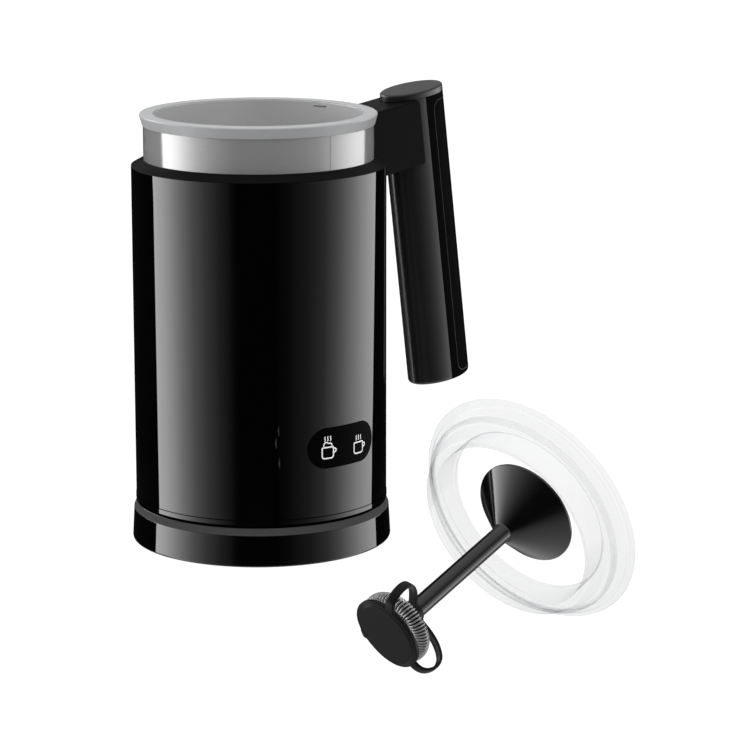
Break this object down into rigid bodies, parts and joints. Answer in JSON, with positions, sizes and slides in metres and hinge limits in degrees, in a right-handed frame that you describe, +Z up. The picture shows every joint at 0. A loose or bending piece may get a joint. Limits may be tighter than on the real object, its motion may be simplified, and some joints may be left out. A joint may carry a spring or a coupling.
{
  "type": "milk frother",
  "caption": "Free-standing electric milk frother: gloss black jug with steel bowl and angled handle on a power base, with its clear lid and magnetic whisk lying in front.",
  "frame": {"origin": "centre of the base's underside, on the table, under the jug's axis", "axes": "+Z up along the jug's axis, +X towards the handle, -Y towards the touch key"},
  "size_m": [0.2114, 0.268, 0.1813],
  "materials": {
    "base_plastic": "gloss black moulded plastic",
    "foot_rubber": "soft black rubber",
    "screw_steel": "zinc-plated screws",
    "coupling_plastic": "black nylon",
    "contact_brass": "bright brass",
    "jug_gloss": "piano-black, mirror gloss",
    "collar_matte": "matte black moulded plastic",
    "neck_steel": "steel brushed round the neck",
    "bowl_steel": "satin steel, brushed round",
    "rim_plastic": "light grey satin plastic",
    "gasket_rubber": "grey silicone",
    "heater_aluminium": "cast",
    "part_black": "black component body",
    "inner_plastic": "natural nylon",
    "motor_steel": "zinc-plated can",
    "board_green": "solder-masked board",
    "relay_blue": "blue relay case",
    "lamp_white": "diffused white lamp",
    "handle_plastic": "black plastic, satin gloss",
    "inlay_plastic": "black soft-touch plastic",
    "magnet_nickel": "nickel-plated magnet",
    "shaft_steel": "ground steel",
    "key_gloss": "gloss black with white pictograms",
    "holder_gloss": "gloss black plastic",
    "lid_clear": "clear plastic",
    "seal_clear": "clear silicone",
    "whisk_plastic": "black satin plastic",
    "coil_steel": "bright wound wire"
  },
  "bodies": {
    "base": {"base_shell": "base_plastic", "base_cover": "base_plastic", "base_pads": "foot_rubber", "base_screws": "screw_steel", "cord_inlet": "foot_rubber", "base_plug": "coupling_plastic", "plug_contacts": "contact_brass"},
    "socket": {"jug_socket": "coupling_plastic", "socket_contacts": "contact_brass"},
    "jug": {"jug_foot": "base_plastic", "foot_screws": "screw_steel", "jug_shell": "jug_gloss", "shoulder_collar": "collar_matte", "neck_band": "neck_steel", "steel_bowl": "bowl_steel", "rim_ring": "rim_plastic", "bowl_gasket": "gasket_rubber", "heater_plate": "heater_aluminium", "temperature_sensor": "part_black", "thermal_fuse": "screw_steel", "motor_bracket": "inner_plastic", "bracket_screws": "screw_steel", "motor": "motor_steel", "motor_screws": "screw_steel", "power_board": "board_green", "relay": "relay_blue", "capacitor": "part_black", "key_pin": "screw_steel", "board_frame": "inner_plastic", "control_board": "board_green", "board_screws": "screw_steel", "push_switches": "part_black", "panel_lamps": "lamp_white", "handle_shell": "handle_plastic", "handle_inlay": "inlay_plastic", "handle_cap": "handle_plastic", "handle_screws": "screw_steel"},
    "rotor": {"magnet_carrier": "inner_plastic", "drive_magnets": "magnet_nickel", "motor_shaft": "shaft_steel"},
    "key": {"touch_key": "key_gloss"},
    "holder": {"holder_cone": "holder_gloss", "whisk_rod": "holder_gloss"},
    "lid": {"lid_cap": "lid_clear", "lid_seal": "seal_clear"},
    "whisk": {"whisk_frame": "whisk_plastic", "whisk_magnets": "magnet_nickel", "whisk_coil": "coil_steel"}
  },
  "joints": [
    {"name": "jug_lift", "type": "slide", "parent": "base", "child": "socket", "axis": [0, 0, 1], "range_m": [0, 0.06]},
    {"name": "jug_swivel", "type": "hinge", "parent": "socket", "child": "jug", "pos_m": [0, 0, 0.02], "axis": [0, 0, 1], "continuous": true},
    {"name": "drive_spin", "type": "hinge", "parent": "jug", "child": "rotor", "pos_m": [0, 0, 0.06], "axis": [0, 0, 1], "continuous": true},
    {"name": "key_rock", "type": "hinge", "parent": "jug", "child": "key", "pos_m": [0, -0.047, 0.0472], "axis": [0, 0, 1], "range_deg": [-1.5, 1.5], "stiffness_Nm_per_rad": 0.4},
    {"name": "lid_lift", "type": "slide", "parent": "base", "child": "holder", "axis": [0, 0, 1], "range_m": [0, 0.08]},
    {"name": "cap_pull", "type": "slide", "parent": "holder", "child": "lid", "axis": [0.9335, 0.1113, 0.3408], "range_m": [0, 0.02]},
    {"name": "whisk_spin", "type": "hinge", "parent": "holder", "child": "whisk", "pos_m": [-0.08241, -0.17261, 0.01709], "axis": [-0.9335, -0.1113, -0.3408], "continuous": true}
  ]
}
